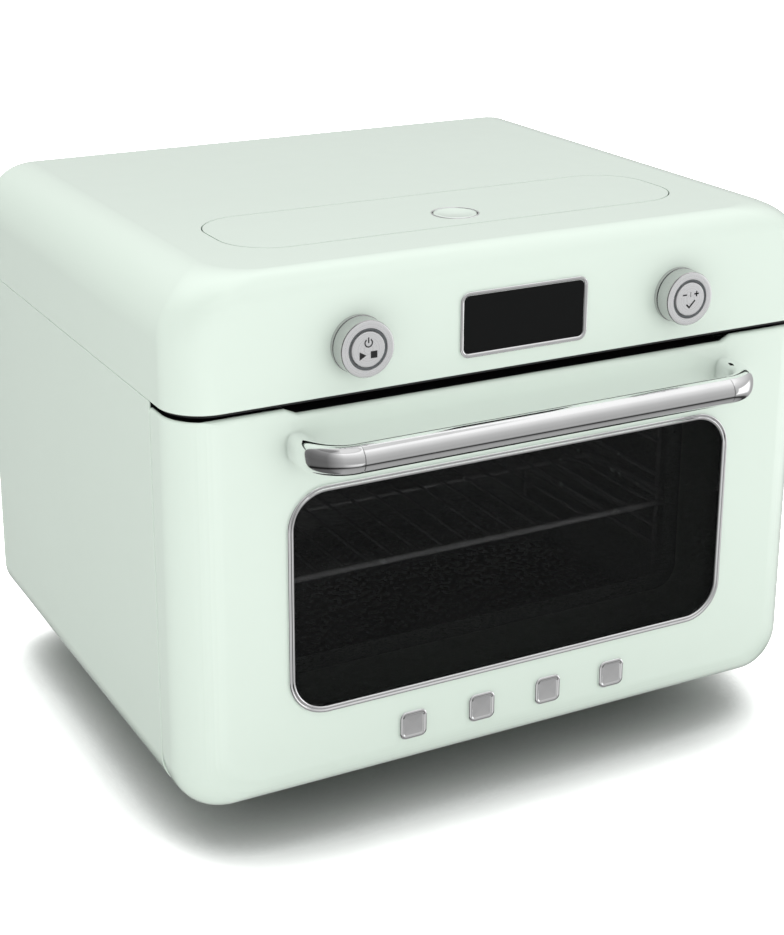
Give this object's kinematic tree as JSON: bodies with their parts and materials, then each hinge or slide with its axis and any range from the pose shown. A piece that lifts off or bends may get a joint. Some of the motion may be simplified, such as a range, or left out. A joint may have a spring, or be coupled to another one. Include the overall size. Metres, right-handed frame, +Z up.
{
  "type": "toaster oven",
  "caption": "Countertop steam oven with a drop-down glass door, bar handle, push-and-turn knobs, display and a lift-out water tank under a flush lid in the top.",
  "frame": {"origin": "on the table, under the middle of the whole object's box, handle included", "axes": "+X to the right of a person facing the door, -Y towards that person, +Z up"},
  "size_m": [0.496, 0.45, 0.4035],
  "materials": {
    "mint_enamel": "smooth high-gloss enamel",
    "black_enamel": "satin black enamel",
    "grey_coat": "fine powder coat",
    "chrome": "mirror polished",
    "brushed_silver": "turned and brushed",
    "inox": "brushed stainless steel",
    "zinc_sheet": "zinc-coated sheet",
    "bright_wire": "bright plated wire",
    "heater_sheath": "oxidised steel tube",
    "black_plastic": "fine grain",
    "grey_plastic": "fine grain",
    "blue_plastic": "moulded",
    "clear_plastic": "smoky clear",
    "ceramic": "glazed ceramic",
    "black_glass": "dark tinted, polished",
    "inner_glass": "clear, slightly grey",
    "lens_glass": "pressed clear glass",
    "foot_rubber": "dull",
    "seal_silicone": "dull",
    "hose_silicone": "translucent white",
    "mineral_wool": "loose fibre",
    "circuit_green": "solder mask",
    "motor_grey": "laminated steel, varnished",
    "cast_alloy": "as cast"
  },
  "bodies": {
    "root": {"top_cover": "mint_enamel", "body_shell": "mint_enamel", "base_plate": "zinc_sheet", "rear_panel": "grey_coat", "feet": "black_plastic", "foot_pads": "foot_rubber", "front_frame": "black_enamel", "air_outlet_grille": "black_plastic", "top_deck": "zinc_sheet", "cavity_liner": "inox", "insulation": "mineral_wool", "fan_guard": "inox", "fan_motor": "motor_grey", "ring_heater": "heater_sheath", "grill_element": "heater_sheath", "rack_support_left": "bright_wire", "rack_support_right": "bright_wire", "wire_rack": "bright_wire", "lamp_housing": "ceramic", "lamp_lens": "lens_glass", "temperature_sensor": "inox", "door_gasket": "seal_silicone", "hinge_bracket_left": "zinc_sheet", "hinge_bracket_right": "zinc_sheet", "steam_generator": "cast_alloy", "water_pump": "blue_plastic", "water_hose": "hose_silicone", "tank_well": "grey_plastic", "control_board": "circuit_green", "display_module": "grey_plastic", "display_glass": "black_glass", "display_bezel": "chrome", "encoders": "blue_plastic", "knob_collars": "chrome", "blower_housing": "zinc_sheet", "blower_motor": "motor_grey", "power_gland": "black_plastic", "rear_screws": "zinc_sheet"},
    "door": {"door_outer_panel": "mint_enamel", "door_inner_panel": "inox", "door_top_trim": "black_plastic", "window_glass_outer": "black_glass", "window_glass_inner": "inner_glass", "window_bezel": "chrome", "handle_bar": "chrome", "handle_bracket_left": "chrome", "handle_bracket_right": "chrome", "handle_screws": "zinc_sheet", "hinge_pins": "zinc_sheet", "trim_studs": "chrome"},
    "tank": {"water_tank": "clear_plastic", "tank_lid": "mint_enamel", "lid_ring": "chrome"},
    "lid_button": {"lid_button": "mint_enamel"},
    "left_knob": {"left_knob": "chrome"},
    "right_knob": {"right_knob": "chrome"},
    "left_button": {"left_button": "brushed_silver"},
    "right_button": {"right_button": "brushed_silver"},
    "convection_fan": {"convection_fan": "inox"},
    "blower_wheel": {"blower_wheel": "zinc_sheet"}
  },
  "joints": [
    {"name": "door_hinge", "type": "hinge", "parent": "root", "child": "door", "pos_m": [0, -0.1416, 0.045], "axis": [1, 0, 0], "range_deg": [0, 80]},
    {"name": "tank_lift", "type": "slide", "parent": "root", "child": "tank", "axis": [0, 0, 1], "range_m": [0, 0.085]},
    {"name": "lid_button_press", "type": "slide", "parent": "tank", "child": "lid_button", "axis": [0, 0, -1], "range_m": [0, 0.003], "stiffness_N_per_m": 400, "springref_m": -0.001},
    {"name": "left_knob_turn", "type": "hinge", "parent": "root", "child": "left_knob", "pos_m": [-0.1238, -0.178, 0.352], "axis": [0, 1, 0], "continuous": true},
    {"name": "right_knob_turn", "type": "hinge", "parent": "root", "child": "right_knob", "pos_m": [0.1238, -0.178, 0.352], "axis": [0, 1, 0], "continuous": true},
    {"name": "left_button_press", "type": "slide", "parent": "root", "child": "left_button", "axis": [0, 1, 0], "range_m": [0, 0.002], "stiffness_N_per_m": 600, "springref_m": -0.0005},
    {"name": "right_button_press", "type": "slide", "parent": "root", "child": "right_button", "axis": [0, 1, 0], "range_m": [0, 0.002], "stiffness_N_per_m": 600, "springref_m": -0.0005},
    {"name": "convection_fan_spin", "type": "hinge", "parent": "root", "child": "convection_fan", "pos_m": [0, 0.15, 0.179], "axis": [0, 1, 0], "continuous": true},
    {"name": "blower_spin", "type": "hinge", "parent": "root", "child": "blower_wheel", "pos_m": [0, 0.07, 0.3533], "axis": [1, 0, 0], "continuous": true}
  ]
}
